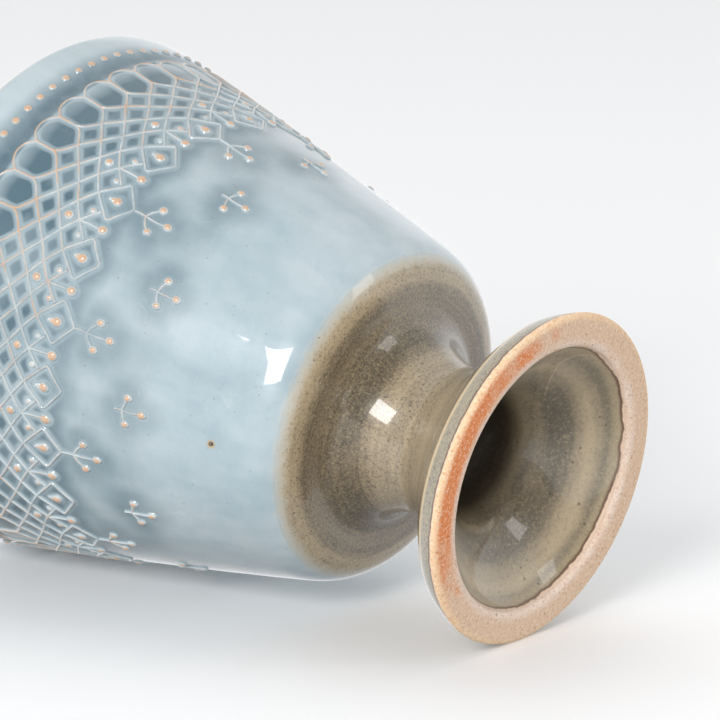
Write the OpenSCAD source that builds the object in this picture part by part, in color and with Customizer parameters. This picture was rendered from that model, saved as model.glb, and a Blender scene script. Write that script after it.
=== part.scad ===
// Footed vase with slip-trailed lace, in millimetres.
// The vase stands on its foot ring at z = 0 and opens upwards; its axis is Z.
// It is thrown as a bowl and a hollow foot, joined with slip, then slip-trailed and glazed.

/* [Bowl] */
// Height of the whole vase, from the foot ring to the lip
height = 102; // [101.5:0.1:103]
// Outer radius of the lip
lip_r = 43.7; // [43.5:0.1:44.2]
// Thickness of the wall at the lip
lip_wall = 2.9; // [2.6:0.1:3.4]
// Thickness of the wall near the floor
low_wall = 3.9; // [3.4:0.1:4.4]
// Thickness of the floor
floor_t = 4.2; // [3.6:0.1:5]
// Height of the bowl's flat underside
under_z = 30; // [29.8:0.1:30.2]
// Depth of the thrown groove between the beads and the scallops
groove_d = 0.4; // [0:0.1:0.6]

/* [Foot] */
// Outer radius of the bare foot ring
ring_r = 27; // [26.8:0.1:27.4]
// Inner radius of the bare foot ring
ring_in = 21.5; // [21:0.1:22]
// Height of the bare ring, where the glaze starts
ring_h = 0.8; // [0.6:0.1:1]
// Radius of the stem at its waist
waist_r = 12.2; // [12:0.1:12.6]
// Height of the waist
waist_z = 19; // [18.5:0.1:19.5]
// Height of the top of the hollow inside the foot
hollow_top = 25.4; // [24.5:0.1:26]

/* [Glaze] */
// Thickness of each glaze coat
coat = 0.4; // [0.3:0.05:0.5]
// Height at which the blue glaze gives way to the brown one
change_z = 32.2; // [32:0.1:32.6]

/* [Lace] */
// Number of scallops round the rim, a multiple of four
scallops = 44; // [40:4:48]
// Width of a trailed line
line_w = 0.6; // [0.5:0.05:0.7]
// Height of a trailed line above the glaze
line_h = 0.5; // [0.4:0.05:0.6]
// Height of the bead row
bead_z = 94.5; // [94.2:0.1:94.8]
// Radius of a bead in the row
bead_r = 0.75; // [0.6:0.05:0.9]

/* [Hidden] */
$fn = 96;

// A quarter of the lace's repeat, which is also half a scallop
step_a = 180 / scallops;
// Heights of the net's rows, from the scallops' split points down to below the pins
rows = [85.8, 83.0, 80.7, 78.6, 76.8, 74.8, 72.4];
// Heights of the scallops' joints and crowns
joint_z = 89.0;
crown_z = 90.7;
// Lozenge frames: top corner, side corners and bottom corner, and half their width
frame_z = [rows[5], 71.0, 68.0];
frame_half = 3.64;
// Slip joint between the bowl and the foot
slip_r = 14.6;
slip_t = 0.6;
// How far the trailed slip is keyed into the coat below it
key = 0.03;
// Ring that carries the vase: how far each shoulder is rounded off
shoulder = 1.3;
n_curve = 14;

clay = [0.86, 0.62, 0.44];
slip = [0.93, 0.80, 0.66];
blue = [0.62, 0.71, 0.75];
brown = [0.42, 0.38, 0.30];

// ---- curves of the profile, as [radius, height] ----

// Points along a cubic curve with ends a and d and handles b and c
function curve(a, b, c, d, n = n_curve) = [for (i = [0:n]) let (t = i / n, s = 1 - t)
    s * s * s * a + 3 * s * s * t * b + 3 * s * t * t * c + t * t * t * d];

// Outer wall between the base corner and the scallops: one quadratic curve
wall_low = [29.0, 36.3];
wall_mid = [34.9, 58.3];
wall_top = [41.7, 89.6];
wall_a = wall_low[1] - 2 * wall_mid[1] + wall_top[1];
wall_b = 2 * (wall_mid[1] - wall_low[1]);
lip_slope = 0.216;

// Place along the wall curve at height z, from 0 at the corner to 1 at the scallops
function wall_t(z) = (sqrt(wall_b * wall_b - 4 * wall_a * (wall_low[1] - z)) - wall_b) / (2 * wall_a);
function wall_at(t) = (1 - t) * (1 - t) * wall_low + 2 * t * (1 - t) * wall_mid + t * t * wall_top;
// Radius of the glazed wall at height z, without the groove
function wall_r(z) = z > wall_top[1] ? wall_top[0] + lip_slope * (z - wall_top[1]) : wall_at(wall_t(z))[0];
// Lean of the wall from upright at height z
function lean(z) = atan((wall_r(z + 0.1) - wall_r(z - 0.1)) / 0.2);

// Points moved t to the left of the way they run, which is inwards on these outlines
function unit(v) = v / norm(v);
function tangent(p, i) = unit(p[min(i + 1, len(p) - 1)] - p[max(i - 1, 0)]);
function inset(p, t) = [for (i = [0:len(p) - 1]) let (d = tangent(p, i)) p[i] + t * [-d[1], d[0]]];
function flip(p) = [for (i = [len(p) - 1:-1:0]) p[i]];

// Outside of the bowl from the glaze change up to the top of the lip
change_p = [26.95, change_z];
groove = [for (i = [1:11]) let (z = 89.9 + i * 0.35)
    [wall_r(z) - groove_d * pow(sin(180 * i / 12), 2), z]];
blue_line = concat(
    curve(change_p, [27.9, 33.2], [28.5, 34.5], wall_low),
    [for (i = [1:24]) wall_at(i / 24)],
    groove,
    curve([wall_r(94.2), 94.2], [wall_r(96), 96], [lip_r, 98], [lip_r, 100.2], 8),
    curve([lip_r, 100.5], [lip_r, 101.5], [lip_r - 0.6, height], [lip_r - lip_wall / 2, height], 8));

// Outside of the foot from the bare ring up to the glaze change, by the flare, stem and underside
arris = [25.6, 4.2];
brown_line = concat(
    [[ring_r, ring_h], [26.5, 2.4], arris],
    curve([25.0, 4.6], [24.3, 5.1], [23.9, 5.8], [23.2, 6.4], 6),
    curve([22.8, 6.75], [17.5, 11.2], [waist_r + 0.3, 14.6], [waist_r, waist_z], 16),
    curve([waist_r + 0.1, waist_z + 1], [waist_r + 0.6, 24.8], [15.2, under_z - 1], [18.6, under_z - 0.1], 16),
    curve([20, under_z], [24.6, under_z + 0.1], [25.9, 31.1], change_p, 10));

// Hollow of the foot from the ring's inner edge up to the middle of its roof
hollow_line = concat(
    curve([ring_in, ring_h], [20.2, 3.8], [14.6, 5.6], [11.8, 9.0], 16),
    curve([11.4, 9.5], [9.2, 12.6], [8.8, 15], [8.3, 19], 10),
    curve([8.1, 19.8], [7.4, 23.6], [4.4, hollow_top], [0, hollow_top], 8));

// Inside of the bowl from the top of the lip down to the middle of its floor
floor_z = under_z + floor_t;
inner_top = [lip_r - lip_wall, 100.2];
inner_low = [wall_at(0)[0] - low_wall, 39.5];
liner_line = concat(
    curve([lip_r - lip_wall / 2, height], [lip_r - lip_wall + 0.6, height], [inner_top[0], 101.3], inner_top, 6),
    curve([40.6, 98.5], [38.4, 90.5], [32.0, 61.5], inner_low, 24),
    curve([24.7, 38.2], [23.3, floor_z + 0.2], [18, floor_z], [14, floor_z], 12),
    [[0, floor_z]]);

// ---- small shapes of the lace ----

// Puts a shape on the wall at angle a and height z: X runs round, Y up the wall, Z outwards
module on_wall(a, z) {
    rotate([0, 0, a])
        translate([wall_r(z) - key, 0, z])
            rotate([0, lean(z), 0])
                rotate([90, 0, 90])
                    children();
}

// Round-topped bead of radius r, flat underneath
module bead(r, sunk = 0.2) {
    intersection() {
        translate([0, 0, -sunk * r]) sphere(r, $fn = 32);
        translate([0, 0, r]) cube([4 * r, 4 * r, 2 * r], center = true);
    }
}

// Straight trailed line from a to b, with a rounded-off section
module trail(a, b, w = line_w, h = line_h) {
    d = b - a;
    translate([a[0], a[1], 0])
        rotate([0, 0, atan2(d[1], d[0])])
            rotate([90, 0, 90])
                linear_extrude(norm(d))
                    polygon([[-w / 2, 0], [w / 2, 0], [0.36 * w, 0.7 * h], [0.14 * w, h],
                        [-0.14 * w, h], [-0.36 * w, 0.7 * h]]);
}

// Conical skin of the wall between two heights, as thick as the lines are high
module skin(z0, z1) {
    n = 5;
    p = [for (i = [0:n]) let (z = z0 + (z1 - z0) * i / n) [wall_r(z) - key, z]];
    rotate_extrude($fn = 180)
        polygon(concat(p, flip([for (q = p) q + [line_h + key, 0]])));
}

// Straight cutter through the wall at angle a with the outline p, as [across, height]
module cutter(a, p) {
    rotate([0, 0, a])
        translate([30, 0, 0])
            rotate([90, 0, 90])
                linear_extrude(20)
                    polygon(p);
}

// Kite with its top at zt, its side corners h either side at zm and its foot at zb,
// drawn in by w, or drawn out where w is negative
function kite(h, zt, zm, zb, w) =
    let (ta = h / (zt - zm), tb = h / (zm - zb))
    let (t = zt - w * sqrt(1 + ta * ta) / ta, b = zb + w * sqrt(1 + tb * tb) / tb)
    let (m = (t * ta + b * tb) / (ta + tb), x = (t - m) * ta)
    [[0, b], [x, m], [0, t], [-x, m]];

// Petal of a scallop at its outline, drawn in by w: crown, straight sides, pointed foot
function petal(w) =
    let (half = wall_r(joint_z) * tan(step_a) - w, low = wall_r(rows[0]) * tan(step_a) - w)
    concat(
        curve([half, joint_z - 0.4 * w], [0.7 * half, crown_z - 1.1 * w + 0.5],
            [-0.7 * half, crown_z - 1.1 * w + 0.5], [-half, joint_z - 0.4 * w], 8),
        [[-low, rows[0]], [-0.52 * low, rows[0] - 1.7 + 0.9 * w], [0, rows[1] + 1.4 * w],
            [0.52 * low, rows[0] - 1.7 + 0.9 * w], [low, rows[0]]]);

// Sprig hanging from the top of the stroke: a stem, two arms and a tail with beads
module sprig(stem, arm_w, arm_drop, tail) {
    trail([0, stem], [0, 0.2]);
    trail([0, 0.2], [0, -tail], line_w * 0.85, line_h * 0.8);
    for (s = [-1, 1])
        trail([0, 0], [s * arm_w, -arm_drop], line_w * 0.75, line_h * 0.7);
    for (p = [[-arm_w, -arm_drop], [arm_w, -arm_drop], [0, -tail]])
        translate([p[0], p[1], 0]) bead(0.72);
}

// ---- the pieces ----

module bowl() {
    inner = inset(liner_line, coat);
    color(clay)
        rotate_extrude($fn = 180)
            polygon(concat(
                [[0, under_z + coat]],
                [for (p = inset(curve([20, under_z], [24.6, under_z + 0.1], [25.9, 31.1], change_p, 10), coat)) p],
                inset(blue_line, coat),
                [for (i = [1:len(inner) - 2]) [max(inner[i][0], 0), inner[i][1]]],
                [[0, floor_z - coat]]));
}

module foot() {
    color(clay)
        rotate_extrude($fn = 180)
            polygon(concat(
                [[ring_in + shoulder, 0], [ring_r - shoulder, 0]],
                curve([ring_r - shoulder + 0.3, 0.02], [ring_r - 0.4, 0.1], [ring_r - 0.05, 0.4], [ring_r, ring_h], 5),
                inset([for (p = brown_line) if (p[1] < under_z - slip_t - coat && p[1] > 1) p], coat),
                [[slip_r, under_z + coat - slip_t], [0, under_z + coat - slip_t], [0, hollow_top + coat]],
                flip(inset([for (p = hollow_line) if (p[0] > 0.1) p], -coat)),
                curve([ring_in, ring_h], [ring_in + 0.05, 0.4], [ring_in + 0.4, 0.1],
                    [ring_in + shoulder - 0.3, 0.02], 5)));
}

module slip_joint() {
    color(slip)
        translate([0, 0, under_z + coat - slip_t])
            cylinder(r = slip_r, h = slip_t, $fn = 180);
}

// Closed coat between an outline and the same outline drawn in
module glaze_coat(line, t) {
    rotate_extrude($fn = 180)
        polygon(concat(line, flip(inset(line, t))));
}

module blue_glaze() {
    color(blue) glaze_coat(blue_line, coat);
}

module brown_glaze() {
    color(brown) glaze_coat(brown_line, coat);
}

module foot_hollow_glaze() {
    color(brown) glaze_coat(hollow_line, -coat);
}

module bowl_liner_glaze() {
    color(blue) glaze_coat(liner_line, coat);
}

module rim_beads() {
    color(slip)
        for (i = [0:2 * scallops - 1])
            on_wall((i + 0.5) * step_a, bead_z) bead(bead_r);
}

module scallop_trail() {
    color(slip)
        difference() {
            intersection() {
                skin(rows[1] - 1, crown_z + 0.8);
                for (i = [0:scallops - 1]) cutter((2 * i + 1) * step_a, petal(-line_w / 2));
            }
            for (i = [0:scallops - 1]) cutter((2 * i + 1) * step_a, petal(line_w / 2));
        }
}

module diamond_net() {
    color(slip)
        difference() {
            skin(rows[6] - 0.2, rows[1]);
            for (j = [1:5]) {
                h = wall_r(rows[j]) * tan(step_a);
                for (i = [0:scallops - 1])
                    cutter((2 * i + (j + 1) % 2) * step_a, kite(h, rows[j - 1], rows[j], rows[j + 1], line_w / 2));
            }
            for (i = [0:2:scallops - 1])
                cutter((2 * i + 3) * step_a,
                    kite(wall_r(rows[6]) * tan(step_a), rows[5], rows[6], 2 * rows[6] - rows[5], line_w / 2));
            for (i = [0:2:scallops - 1])
                cutter((2 * i + 1) * step_a, kite(frame_half, frame_z[0], frame_z[1], frame_z[2], -line_w / 2));
            for (i = [0:scallops - 1]) cutter((2 * i + 1) * step_a, petal(-line_w / 2));
        }
}

module lozenge_frames() {
    color(slip)
        difference() {
            intersection() {
                skin(frame_z[2] - 0.8, frame_z[0] + 0.8);
                for (i = [0:2:scallops - 1])
                    cutter((2 * i + 1) * step_a, kite(frame_half, frame_z[0], frame_z[1], frame_z[2], -line_w / 2));
            }
            for (i = [0:2:scallops - 1])
                cutter((2 * i + 1) * step_a, kite(frame_half, frame_z[0], frame_z[1], frame_z[2], line_w / 2));
        }
}

module frame_seeds() {
    color(slip)
        for (i = [0:2:scallops - 1])
            on_wall((2 * i + 1) * step_a, 71.2) {
                bead(0.85);
                translate([0, 0.7, 0]) bead(0.62);
                translate([0, 1.3, 0]) bead(0.4);
            }
}

module net_seeds() {
    color(slip)
        for (i = [0:2:scallops - 1])
            on_wall((2 * i + 3) * step_a, rows[4]) bead(0.75);
}

module side_beads() {
    color(slip)
        for (i = [0:2:scallops - 1])
            for (s = [-0.85, 0.85])
                on_wall((2 * i + 3 + s) * step_a, 73.6) bead(0.6);
}

module pins() {
    color(slip)
        for (i = [0:2:scallops - 1])
            on_wall((2 * i + 3) * step_a, 70.5) {
                trail([0, 3.7], [0, 0]);
                bead(0.82);
            }
}

module hanging_sprigs() {
    color(slip)
        for (i = [0:4:scallops - 1])
            on_wall((2 * i + 1) * step_a, 65.7) sprig(2.0, 2.4, 1.7, 4.0);
}

module free_sprigs() {
    color(slip)
        for (i = [2:4:scallops - 1])
            on_wall((2 * i + 1) * step_a, 57.3) sprig(1.4, 2.35, 0.7, 3.3);
}

bowl();
foot();
slip_joint();
blue_glaze();
brown_glaze();
foot_hollow_glaze();
bowl_liner_glaze();
rim_beads();
scallop_trail();
diamond_net();
lozenge_frames();
frame_seeds();
net_seeds();
side_beads();
pins();
hanging_sprigs();
free_sprigs();
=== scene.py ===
# %% [markdown]
# # A footed vase with slip-trailed lace
# The vase is thrown in two parts, a tapered bowl and a hollow foot, joined with slip. Lines and
# dots of thin slip are trailed round the wall, and the whole is glazed apart from the ring that it
# stands on. The CAD model gives the sizes; this lesson gives the same vase its surfaces. It stands
# upright on its foot, with Z up, and the main camera looks at it as it lies on a table.

# %% Load the frame
import math

import bmesh
import bpy
from mathutils import Matrix, Vector


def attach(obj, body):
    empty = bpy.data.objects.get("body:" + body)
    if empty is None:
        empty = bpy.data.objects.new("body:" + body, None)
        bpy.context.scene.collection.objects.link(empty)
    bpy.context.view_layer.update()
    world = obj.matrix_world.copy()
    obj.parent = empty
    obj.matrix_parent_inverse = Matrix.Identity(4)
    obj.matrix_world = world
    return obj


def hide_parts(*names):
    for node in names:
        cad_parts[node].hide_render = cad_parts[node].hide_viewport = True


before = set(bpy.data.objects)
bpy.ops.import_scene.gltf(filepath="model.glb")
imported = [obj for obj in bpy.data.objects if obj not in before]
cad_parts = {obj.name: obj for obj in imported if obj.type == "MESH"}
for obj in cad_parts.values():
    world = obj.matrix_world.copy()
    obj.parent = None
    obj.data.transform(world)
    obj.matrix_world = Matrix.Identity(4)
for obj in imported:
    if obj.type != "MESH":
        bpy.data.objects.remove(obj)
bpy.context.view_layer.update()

MM = 0.001

# %% [markdown]
# ## Working with node trees
# Most pieces come from Geometry Nodes and every finish from shader nodes. Both kinds of tree are
# built from Python here, so a few short helpers keep the cells readable. They all work on the
# tree that is on the bench, which is the one that was begun last: one adds a node and fills its
# sockets, others do sums, and one begins a tree with named inputs and outputs.

# %% Helpers for node trees

bench = {}


def link(value, socket):
    """Links a socket to another node's output, or gives it a plain value."""
    if isinstance(value, bpy.types.NodeSocket):
        bench["tree"].links.new(value, socket)
    else:
        socket.default_value = value


def add(kind, inputs=None, **settings):
    """Adds a node, applies its settings, and fills its inputs with links or plain values."""
    made = bench["tree"].nodes.new(kind)
    for name, value in settings.items():
        setattr(made, name, value)
    for name, value in (inputs or {}).items():
        link(value, made.inputs[name])
    return made


def node(kind, inputs=None, **settings):
    """Adds a node in the same way, and gives its first output."""
    return add(kind, inputs, **settings).outputs[0]


def sums(operation, a, b=0.0, clamp=False):
    """One sum on numbers, links or plain values, and its result."""
    return node("ShaderNodeMath", {0: a, 1: b}, operation=operation, use_clamp=clamp)


def times(a, b, clamp=False):
    return sums("MULTIPLY", a, b, clamp)


def plus(a, b, clamp=False):
    return sums("ADD", a, b, clamp)


def minus(a, b, clamp=False):
    return sums("SUBTRACT", a, b, clamp)


def vector_sum(operation, a, b=(0, 0, 0), scale=1.0):
    """One sum on vectors, and its result."""
    made = add("ShaderNodeVectorMath", {0: a, 1: b, 3: scale}, operation=operation)
    return made.outputs["Value" if operation in ("LENGTH", "DOT_PRODUCT", "DISTANCE") else "Vector"]


def vector(x=0, y=0, z=0):
    """Puts three numbers together."""
    return node("ShaderNodeCombineXYZ", {0: x, 1: y, 2: z})


def apart(spot):
    """Takes a vector apart, into its X, Y and Z."""
    return add("ShaderNodeSeparateXYZ", {0: spot}).outputs


def between(value, low, high, to_low=0.0, to_high=1.0):
    """Eases a number from to_low to to_high as the value goes from low to high."""
    return node("ShaderNodeMapRange", {"Value": value, "From Min": low, "From Max": high, "To Min": to_low,
                                       "To Max": to_high}, interpolation_type="SMOOTHSTEP")


def band(value, start, full, fade, gone):
    """1 where the value lies from full to fade, easing in from start and out to gone."""
    return times(between(value, start, full), between(value, gone, fade))


def new_tree(name, kind, inputs, outputs):
    """Puts a new tree on the bench and gives it and its two ends. An input is named with its
    number or its kind, and an output with its kind."""
    tree = bench["tree"] = bpy.data.node_groups.new(name, kind)
    for label, value in inputs.items():
        plain = {int: "Int", float: "Float"}.get(type(value))
        made = tree.interface.new_socket(label, in_out="INPUT", socket_type="NodeSocket" + (plain or value))
        if plain:
            made.default_value = value
    for label, socket in outputs.items():
        tree.interface.new_socket(label, in_out="OUTPUT", socket_type="NodeSocket" + socket)
    return tree, add("NodeGroupInput").outputs, add("NodeGroupOutput").inputs


def set_finish(geometry, given, end):
    """Ends a geometry tree with real geometry that wears the finish it was given."""
    real = node("GeometryNodeRealizeInstances", {"Geometry": geometry})
    link(node("GeometryNodeSetMaterial", {"Geometry": real, "Material": given["Finish"]}), end[0])


# %% [markdown]
# ## The outlines
# A thrown pot is a half outline turned about its axis, so its shape is a list of points, each a
# distance from the axis and a height. The curves below are the ones the CAD model was turned
# from, in millimetres. `inset` moves an outline sideways by a coat's thickness, as its clay lies
# under its glaze.

# %% Curves of the outline


def curve(a, b, c, d, n=14):
    """Points along a cubic curve from a to d with handles b and c."""
    points = []
    for i in range(n + 1):
        t = i / n
        s = 1 - t
        points.append([s**3 * p + 3 * s * s * t * q + 3 * s * t * t * u + t**3 * v for p, q, u,
                       v in zip(a, b, c, d)])
    return points


def inset(line, t):
    """The line moved by t to the left of the way that it runs."""
    moved = []
    for i, p in enumerate(line):
        q, r = line[min(i + 1, len(line) - 1)], line[max(i - 1, 0)]
        along = Vector((q[0] - r[0], q[1] - r[1])).normalized()
        moved.append([max(p[0] - t * along.y, 0.0), p[1] + t * along.x])
    return moved


HEIGHT, LIP_R, LIP_WALL = 102.0, 43.7, 2.9
LOW_WALL, FLOOR_T, UNDER_Z = 3.9, 4.2, 30.0
RING_R, RING_IN, RING_H, SHOULDER = 27.0, 21.5, 0.8, 1.3
WAIST_R, WAIST_Z, HOLLOW_TOP = 12.2, 19.0, 25.4
COAT, CHANGE_Z = 0.4, 32.2
CHANGE = [26.95, CHANGE_Z]
WALL = ([29.0, 36.3], [34.9, 58.3], [41.7, 89.6])
LIP_SLOPE, GROOVE_DEPTH, GROOVE_FROM, GROOVE_STEP = 0.216, 0.4, 89.9, 0.35


def wall_at(t):
    """Point on the wall, from 0 at the base corner to 1 below the groove."""
    return [(1 - t) ** 2 * a + 2 * t * (1 - t) * b + t * t * c for a, b, c in zip(*WALL)]


def wall_r(z):
    """Radius of the glazed wall at a height, without the groove."""
    if z > WALL[2][1]:
        return WALL[2][0] + LIP_SLOPE * (z - WALL[2][1])
    bend = WALL[0][1] - 2 * WALL[1][1] + WALL[2][1]
    rise = 2 * (WALL[1][1] - WALL[0][1])
    t = (math.sqrt(rise * rise - 4 * bend * (WALL[0][1] - z)) - rise) / (2 * bend)
    return wall_at(t)[0]


def groove_r(z):
    """Radius of the wall at a height, with the groove that was pressed under the lip."""
    turn = (z - GROOVE_FROM) / (12 * GROOVE_STEP)
    return wall_r(z) - (GROOVE_DEPTH * math.sin(math.pi * turn) ** 2 if 0 < turn < 1 else 0)


def heights(low, high, gap):
    """Evenly spaced heights from low to high, about gap apart."""
    n = round((high - low) / gap)
    return [low + (high - low) * i / n for i in range(n + 1)]


corner_line = curve(CHANGE, [27.9, 33.2], [28.5, 34.5], WALL[0], 10)[:-1]
wall_line = [[wall_r(z), z] for z in heights(36.3, 51.0, 1.6) + heights(51.5, 64.5, 0.55)]
lace_line = [[groove_r(z), z] for z in heights(64.9, 90.6, 0.38) + heights(90.9, 94.2, 0.4)]
lip_line = curve([wall_r(94.5), 94.5], [wall_r(96), 96], [LIP_R, 98], [LIP_R, 100.2], 9)
rim_line = curve([LIP_R, 100.5], [LIP_R, 101.5], [LIP_R - 0.6, HEIGHT], [LIP_R - LIP_WALL / 2, HEIGHT], 7)
blue_line = corner_line + wall_line + lace_line + lip_line + rim_line

side_line = [[RING_R, RING_H], [26.9, 1.2], [26.7, 1.9], [26.4, 2.7], [26.0, 3.5], [25.7, 4.05]]
arris_line = curve([25.6, 4.2], [25.45, 4.42], [25.2, 4.5], [24.95, 4.68], 4)
flare_line = curve([24.7, 4.9], [24.1, 5.4], [23.8, 5.95], [23.0, 6.6], 5)
stem_line = curve([22.6, 6.95], [17.5, 11.2], [WAIST_R + 0.3, 14.6], [WAIST_R, WAIST_Z], 24)
neck_line = curve([WAIST_R, WAIST_Z + 0.6], [WAIST_R + 0.6, 24.8], [15.2, UNDER_Z - 1], [18.6, UNDER_Z - 0.1],
                  24)
under_line = curve([19.3, UNDER_Z - 0.04], [24.6, UNDER_Z + 0.05], [25.9, 31.1], CHANGE, 16)
brown_line = side_line + arris_line + flare_line + stem_line + neck_line + under_line

hollow_line = (curve([RING_IN, RING_H], [20.2, 3.8], [14.6, 5.6], [11.8, 9.0], 26)
               + curve([11.6, 9.24], [9.2, 12.6], [8.8, 15], [8.3, 19], 20)
               + curve([8.2, 19.5], [7.4, 23.6], [4.4, HOLLOW_TOP], [0, HOLLOW_TOP], 12))

floor_z = UNDER_Z + FLOOR_T
inner_top = [LIP_R - LIP_WALL, 100.2]
liner_line = (curve([LIP_R - LIP_WALL / 2, HEIGHT], [inner_top[0] + 0.6, HEIGHT], [inner_top[0], 101.3],
                    inner_top, 7)
              + curve([40.6, 98.5], [38.4, 90.5], [32.0, 61.5], [WALL[0][0] - LOW_WALL, 39.5], 24)
              + curve([24.7, 38.2], [23.3, floor_z + 0.2], [18, floor_z], [14, floor_z], 12)
              + [[7, floor_z], [0, floor_z]])
print("points in the outlines:", len(blue_line), len(brown_line), len(hollow_line), len(liner_line))

# %% [markdown]
# ## A wheel in Geometry Nodes
# The tree takes an outline and wraps a grid round the axis: each row of the grid reads one point
# of the outline by its index, and each column stands at its own angle. A slow noise moves the wall
# by a few hundredths of a millimetre, as a hand on the wheel does, and mostly inwards, so that the
# lip stays inside the size that it was given. Seams and poles are merged, so each coat is a closed
# shell.

# %% The wheel

STEADY = 0.62  # the noise that leaves the wall where it is
NEAR_AXIS = 6 * MM  # the hand's waver fades out inside this radius


def tree_thrown():
    tree, given, end = new_tree("Thrown on the wheel", "GeometryNodeTree", {
        "Outline": "Geometry", "Columns": 256, "Waver": 0.00004, "Seed": 3.0, "Finish": "Material"},
        {"Geometry": "Geometry"})
    rows = add("GeometryNodeAttributeDomainSize", {"Geometry": given["Outline"]}).outputs["Point Count"]
    wide = plus(given["Columns"], 1)
    grid = add("GeometryNodeMeshGrid", {"Vertices X": wide, "Vertices Y": rows}).outputs["Mesh"]
    index = node("GeometryNodeInputIndex")
    row = sums("MODULO", index, rows)
    column = sums("DIVIDE", minus(index, row), rows)
    place = node("GeometryNodeInputPosition")
    point = add("GeometryNodeSampleIndex", {"Geometry": given["Outline"], "Value": place, "Index": row},
                data_type="FLOAT_VECTOR")
    split = apart(point.outputs["Value"])
    angle = sums("DIVIDE", times(column, math.tau), given["Columns"])
    cos, sin = sums("COSINE", angle), sums("SINE", angle)
    spot = vector(cos, sin, times(split["Z"], 260.0))
    hand = add("ShaderNodeTexNoise", {"Vector": spot, "W": given["Seed"], "Scale": 0.9, "Detail": 2.0},
               noise_dimensions="4D").outputs["Fac"]
    sway = times(minus(hand, STEADY), given["Waver"])
    calm = times(split["X"], 1 / NEAR_AXIS, clamp=True)
    radius = plus(split["X"], times(sway, calm))
    placed = vector(times(radius, cos), times(radius, sin), split["Z"])
    turned = node("GeometryNodeSetPosition", {"Geometry": grid, "Position": placed})
    closed = node("GeometryNodeMergeByDistance", {"Geometry": turned, "Distance": 1e-6})
    smooth = node("GeometryNodeSetShadeSmooth", {"Geometry": closed})
    set_finish(smooth, given, end)
    return tree


thrown = tree_thrown()
print("the wheel has", len(thrown.nodes), "nodes")

# %% [markdown]
# ## From modifier to plain mesh
# A modifier's inputs are set by their identifiers before anything is evaluated. The evaluated
# result is then copied into a plain mesh, and the modifier goes, so a finished piece is just its
# faces. Faces have to look outwards: a closed shell whose volume comes out negative is turned
# inside out.

# %% Run a tree and keep its mesh


def set_inputs(modifier, values):
    """Sets a modifier's inputs, given by name, through their identifiers."""
    for socket in modifier.node_group.interface.items_tree:
        if socket.item_type == "SOCKET" and socket.in_out == "INPUT" and socket.name in values:
            modifier[socket.identifier] = values[socket.name]


def grow(piece, tree, values):
    """Runs a tree on a piece's mesh and keeps the plain result."""
    modifier = piece.modifiers.new(tree.name, "NODES")
    modifier.node_group = tree
    set_inputs(modifier, values)
    graph = bpy.context.evaluated_depsgraph_get()
    made = bpy.data.meshes.new_from_object(piece.evaluated_get(graph), depsgraph=graph)
    piece.modifiers.remove(modifier)
    piece.data = made
    made.name = piece.name
    return piece


def outwards(piece):
    """Turns the faces of a closed shell outwards, and says how many there are."""
    shape = bmesh.new()
    shape.from_mesh(piece.data)
    bmesh.ops.delete(shape, geom=[edge for edge in shape.edges if not edge.link_faces], context="EDGES")
    if shape.calc_volume(signed=True) < 0:
        bmesh.ops.reverse_faces(shape, faces=shape.faces)
    open_edges = sum(1 for edge in shape.edges if len(edge.link_faces) != 2)
    shape.to_mesh(piece.data)
    shape.free()
    print(f"{piece.name}: {len(piece.data.polygons)} faces, {open_edges} open edges")
    return piece


def piece_from(name, points, edges=()):
    """A new object whose mesh has these points, in millimetres, and edges."""
    mesh = bpy.data.meshes.new(name)
    mesh.from_pydata([[c * MM for c in p] for p in points], list(edges), [])
    piece = bpy.data.objects.new(name, mesh)
    bpy.context.scene.collection.objects.link(piece)
    return piece


def throw(name, outline, finish, columns=256, waver=0.05, seed=3.0):
    """Turns an outline, given as radius and height, into a closed piece."""
    piece = piece_from(name, [[r, 0, z] for r, z in outline])
    grow(piece, thrown, {"Columns": columns, "Waver": waver * MM, "Seed": seed, "Finish": finish})
    return outwards(piece)


def sharpen(piece, degrees):
    """Marks the edges sharper than an angle, so that smooth shading stops at them."""
    shape = bmesh.new()
    shape.from_mesh(piece.data)
    for edge in shape.edges:
        edge.smooth = len(edge.link_faces) == 2 and edge.calc_face_angle() < math.radians(degrees)
    shape.to_mesh(piece.data)
    shape.free()


# %% [markdown]
# ## Shared shader groups
# Several finishes need the same things: where a point is on the wheel, specks in a glaze, and
# fine streaks that run round the pot. Each is a group with named inputs that puts out plain
# values, and each material sets its own amounts.

# %% Colour and group helpers


def tint(red, green, blue):
    """A colour on the 0 to 255 scale as the linear colour that a shader takes."""
    def linear(v):
        v /= 255
        return v / 12.92 if v <= 0.04045 else ((v + 0.055) / 1.055) ** 2.4
    return (linear(red), linear(green), linear(blue), 1.0)


def mix(share, a, b):
    """Mixes two colours by a share from 0 to 1."""
    return add("ShaderNodeMix", {0: share, 6: a, 7: b}, data_type="RGBA").outputs[2]


def washes(colour, *layers):
    """Lays washes over a colour in turn. Each is a mask, the share of it that shows, and a tint."""
    for mask, share, paint in layers:
        colour = mix(times(mask, share), colour, paint)
    return colour


def noise(spot, scale, detail=2.0, roughness=0.5):
    """Noise from 0 to 1 at a scale given in features per millimetre."""
    return node("ShaderNodeTexNoise", {"Vector": spot, "Scale": scale / MM, "Detail": detail,
                                       "Roughness": roughness})


def wander(spot, scale, reach):
    """A slow unevenness, which moves a glaze's edge by up to half the reach either way."""
    return times(minus(noise(spot, scale, 3.0), 0.5), reach)


def use(group, inputs):
    """Places a shader group."""
    return add("ShaderNodeGroup", inputs, node_tree=group).outputs


# %% Groups: place on the wheel, specks, streaks, crazing


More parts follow.
